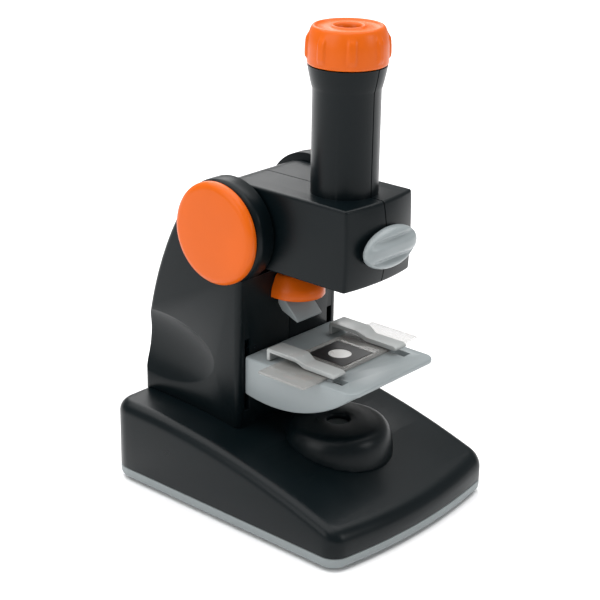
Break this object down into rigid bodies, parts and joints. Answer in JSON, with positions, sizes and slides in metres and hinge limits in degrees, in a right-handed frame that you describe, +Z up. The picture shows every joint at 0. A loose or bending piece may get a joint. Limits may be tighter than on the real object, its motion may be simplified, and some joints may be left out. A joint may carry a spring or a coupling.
{
  "type": "toy microscope",
  "caption": "Child's upright microscope with a wedge base, lamp dome, sliding stage with clips and a slide, twin focus knobs, selector knob and turning eyepiece.",
  "frame": {"origin": "middle of the footprint at table level", "axes": "+Z up, the stage and selector knob face -Y, the focus shaft runs along X"},
  "size_m": [0.1032, 0.135, 0.2082],
  "materials": {
    "black_plastic": "satin moulded, fine spark texture",
    "orange_plastic": "satin-gloss moulded",
    "grey_plastic": "satin moulded",
    "tray_plastic": "satin moulded",
    "white_plastic": "natural acetal",
    "rubber_foot": "soft matte",
    "steel": "zinc plated",
    "contact_metal": "nickel plated strip",
    "cell_jacket": "printed wrapper, left plain",
    "clear_lens": "clear polished",
    "clear_slide": "clear moulded",
    "mask_ink": "matt printed label",
    "circuit_board": "solder mask",
    "led_epoxy": "clear epoxy"
  },
  "bodies": {
    "stand": {"base_shell": "black_plastic", "lamp_dome": "black_plastic", "light_tube": "black_plastic", "pillar_left": "black_plastic", "pillar_right": "black_plastic", "head_left": "black_plastic", "head_right": "black_plastic", "top_lamp_hood": "orange_plastic", "top_lamp_shroud": "grey_plastic", "base_tray": "tray_plastic", "battery_door": "tray_plastic", "shaft_bush_left": "white_plastic", "shaft_bush_right": "white_plastic", "foot_1": "rubber_foot", "base_screw_1": "steel", "foot_2": "rubber_foot", "base_screw_2": "steel", "foot_3": "rubber_foot", "base_screw_3": "steel", "foot_4": "rubber_foot", "base_screw_4": "steel", "head_screw_1": "steel", "pillar_screw_1": "steel", "head_screw_2": "steel", "pillar_screw_2": "steel", "head_screw_3": "steel", "pillar_screw_3": "steel", "pillar_foot_screw_1": "steel", "battery_cell_1": "cell_jacket", "pillar_foot_screw_2": "steel", "battery_cell_2": "cell_jacket", "battery_door_screw": "steel", "battery_contact_front": "contact_metal", "battery_contact_rear": "contact_metal", "lamp_diffuser": "clear_lens", "objective_window": "clear_lens", "lamp_board": "circuit_board", "lamp_led": "led_epoxy", "top_lamp_led": "led_epoxy"},
    "stage": {"stage": "grey_plastic", "stage_carriage": "black_plastic"},
    "focus": {"focus_shaft": "steel", "focus_pinion": "white_plastic", "focus_knob_left": "orange_plastic", "focus_knob_right": "orange_plastic"},
    "slide": {"specimen_slide": "clear_slide", "specimen_mask": "mask_ink"},
    "clip_left": {"stage_clip_left": "grey_plastic"},
    "clip_right": {"stage_clip_right": "grey_plastic"},
    "selector": {"selector_knob": "grey_plastic", "objective_drum": "grey_plastic", "objective_lens_1": "clear_lens", "objective_lens_2": "clear_lens", "objective_lens_3": "clear_lens"},
    "eyepiece": {"eyepiece_cap": "orange_plastic", "eye_lens": "clear_lens"},
    "barrel": {"lens_barrel": "black_plastic", "field_lens": "clear_lens"},
    "switch": {"lamp_switch": "grey_plastic"}
  },
  "joints": [
    {"name": "stage_travel", "type": "slide", "parent": "stand", "child": "stage", "axis": [0, 0, 1], "range_m": [-0.008, 0.008]},
    {"name": "focus_turn", "type": "hinge", "parent": "stand", "child": "focus", "pos_m": [0, 0.0194, 0.1208], "axis": [1, 0, 0], "range_deg": [-96, 96]},
    {"name": "slide_shift", "type": "slide", "parent": "stage", "child": "slide", "axis": [1, 0, 0], "range_m": [-0.012, 0.012]},
    {"name": "clip_left_lift", "type": "hinge", "parent": "stage", "child": "clip_left", "pos_m": [-0.02025, -0.0012, 0.0674], "axis": [1, 0, 0], "range_deg": [-5, 0], "stiffness_Nm_per_rad": 0.03, "springref_deg": 5.73},
    {"name": "clip_right_lift", "type": "hinge", "parent": "stage", "child": "clip_right", "pos_m": [0.02025, -0.0012, 0.0674], "axis": [1, 0, 0], "range_deg": [-5, 0], "stiffness_Nm_per_rad": 0.03, "springref_deg": 5.73},
    {"name": "selector_turn", "type": "hinge", "parent": "stand", "child": "selector", "pos_m": [0, -0.0205, 0.1221], "axis": [0, 1, 0], "range_deg": [-60, 60]},
    {"name": "eyepiece_turn", "type": "hinge", "parent": "stand", "child": "eyepiece", "pos_m": [0, -0.0205, 0.1926], "axis": [0, 0, 1], "range_deg": [0, 120.5]},
    {"name": "barrel_zoom", "type": "slide", "parent": "stand", "child": "barrel", "axis": [0, 0, 1], "range_m": [0, 0.005]},
    {"name": "switch_slide", "type": "slide", "parent": "stand", "child": "switch", "axis": [0, 1, 0], "range_m": [-0.0024, 0.0024]}
  ],
  "couplings": [
    {"joint": "focus_turn", "follows": "stage_travel", "rad_per_m": -208.33},
    {"joint": "eyepiece_turn", "follows": "barrel_zoom", "rad_per_m": 418.88}
  ]
}
